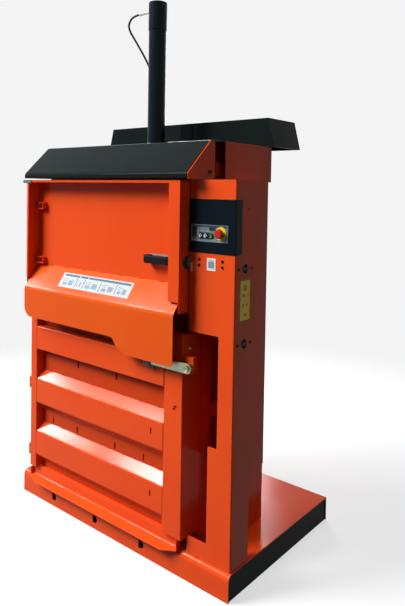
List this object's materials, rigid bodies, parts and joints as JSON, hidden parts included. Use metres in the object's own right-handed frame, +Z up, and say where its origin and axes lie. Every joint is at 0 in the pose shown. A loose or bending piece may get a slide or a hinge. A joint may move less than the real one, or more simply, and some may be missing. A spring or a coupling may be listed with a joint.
{
  "type": "recycling baler",
  "caption": "Upright baler for card and film: ram over a square chamber, loading door above, bale door below, control column at the side.",
  "frame": {"origin": "bottom centre of the base, on the floor", "axes": "+Z up, -Y towards the person who loads it, +X towards the control column"},
  "size_m": [1.36, 0.86, 2.551],
  "materials": {
    "orange_paint": "semi-gloss powder coat, signal orange",
    "petrol_paint": "satin powder coat, dark petrol",
    "cylinder_paint": "satin enamel, dark blue-green",
    "base_black": "flat black paint",
    "panel_black": "fine-grained moulded black",
    "handle_black": "grained nylon, black",
    "zinc_steel": "zinc plated, yellowish passivation",
    "bright_steel": "turned steel",
    "dark_steel": "dark oxidised steel",
    "hard_chrome": "ground hard chrome",
    "keypad_grey": "grey printed-type overlay, bare",
    "window_dark": "dark tinted window",
    "stop_red": "signal red",
    "stop_yellow": "signal yellow",
    "button_green": "green",
    "button_white": "white",
    "bezel_black": "black",
    "hose_rubber": "smooth black hydraulic hose",
    "plate_white": "bare white plate",
    "plate_yellow": "bare yellow plate",
    "latch_grey": "worn brown-grey"
  },
  "bodies": {
    "frame": {"base_deck": "orange_paint", "base_underside": "base_black", "button_bezels": "bezel_black", "chamber_floor": "orange_paint", "chamber_walls": "orange_paint", "column_inner": "orange_paint", "column_screws": "dark_steel", "column_shell": "orange_paint", "control_gear": "panel_black", "control_panel": "panel_black", "cover_band": "petrol_paint", "crosshead": "orange_paint", "cylinder_barrel": "cylinder_paint", "cylinder_ends": "cylinder_paint", "display_panes": "window_dark", "door_frame": "orange_paint", "frame_posts": "orange_paint", "hinge_arms": "orange_paint", "hinge_pins": "zinc_steel", "hood": "petrol_paint", "hood_gusset": "orange_paint", "hose": "hose_rubber", "hose_fitting": "bright_steel", "hose_grommet": "hose_rubber", "info_plate": "plate_white", "interlock_key": "bright_steel", "keypad_plate": "keypad_grey", "oil_tank": "base_black", "pump_unit": "dark_steel", "rear_cabinet": "orange_paint", "rear_cover": "petrol_paint", "rear_housing": "petrol_paint", "side_plate": "plate_yellow", "stop_ring": "stop_yellow", "wall_ribs": "orange_paint"},
    "lower_door": {"lower_door_lip": "orange_paint", "lower_door_rail": "orange_paint", "lower_door_ribs": "orange_paint", "lower_door_skin": "orange_paint", "lower_door_stiles": "orange_paint", "lower_hinge_leaves": "orange_paint", "lever_block": "orange_paint", "lever_bolts": "zinc_steel", "lever_keeper": "dark_steel"},
    "upper_door": {"upper_door_apron": "orange_paint", "upper_door_pan": "orange_paint", "upper_hinge_leaves": "orange_paint", "door_handle": "handle_black", "latch_disc": "latch_grey", "door_top_plate": "zinc_steel", "instruction_plate": "plate_white"},
    "lock_lever": {"lock_lever": "zinc_steel"},
    "ram": {"press_plate": "orange_paint", "piston_rod": "hard_chrome"},
    "stop_stem": {"stop_stem": "bezel_black"},
    "stop_head": {"stop_head": "stop_red"},
    "start_button": {"start_button": "button_green"},
    "up_button": {"up_button": "button_white"},
    "down_button": {"down_button": "button_white"}
  },
  "joints": [
    {"name": "bale_door_hinge", "type": "hinge", "parent": "frame", "child": "lower_door", "pos_m": [-0.626, -0.396, 0.414], "axis": [0, 0, -1], "range_deg": [0, 90]},
    {"name": "loading_door_hinge", "type": "hinge", "parent": "lower_door", "child": "upper_door", "pos_m": [-0.626, -0.396, 1.377], "axis": [0, 0, -1], "range_deg": [0, 90]},
    {"name": "lock_lever_pivot", "type": "hinge", "parent": "lower_door", "child": "lock_lever", "pos_m": [0.48, -0.432, 0.89], "axis": [0, 1, 0], "range_deg": [0, 65]},
    {"name": "ram_slide", "type": "slide", "parent": "frame", "child": "ram", "axis": [0, 0, -1], "range_m": [0, 0.6]},
    {"name": "stop_push", "type": "slide", "parent": "frame", "child": "stop_stem", "axis": [0, 1, 0], "range_m": [0, 0.004], "stiffness_N_per_m": 900},
    {"name": "stop_twist", "type": "hinge", "parent": "stop_stem", "child": "stop_head", "pos_m": [0.605, -0.403, 1.437], "axis": [0, 1, 0], "range_deg": [0, 30], "stiffness_Nm_per_rad": 0.05},
    {"name": "start_push", "type": "slide", "parent": "frame", "child": "start_button", "axis": [0, 1, 0], "range_m": [0, 0.003], "stiffness_N_per_m": 500},
    {"name": "up_push", "type": "slide", "parent": "frame", "child": "up_button", "axis": [0, 1, 0], "range_m": [0, 0.003], "stiffness_N_per_m": 500},
    {"name": "down_push", "type": "slide", "parent": "frame", "child": "down_button", "axis": [0, 1, 0], "range_m": [0, 0.003], "stiffness_N_per_m": 500}
  ]
}
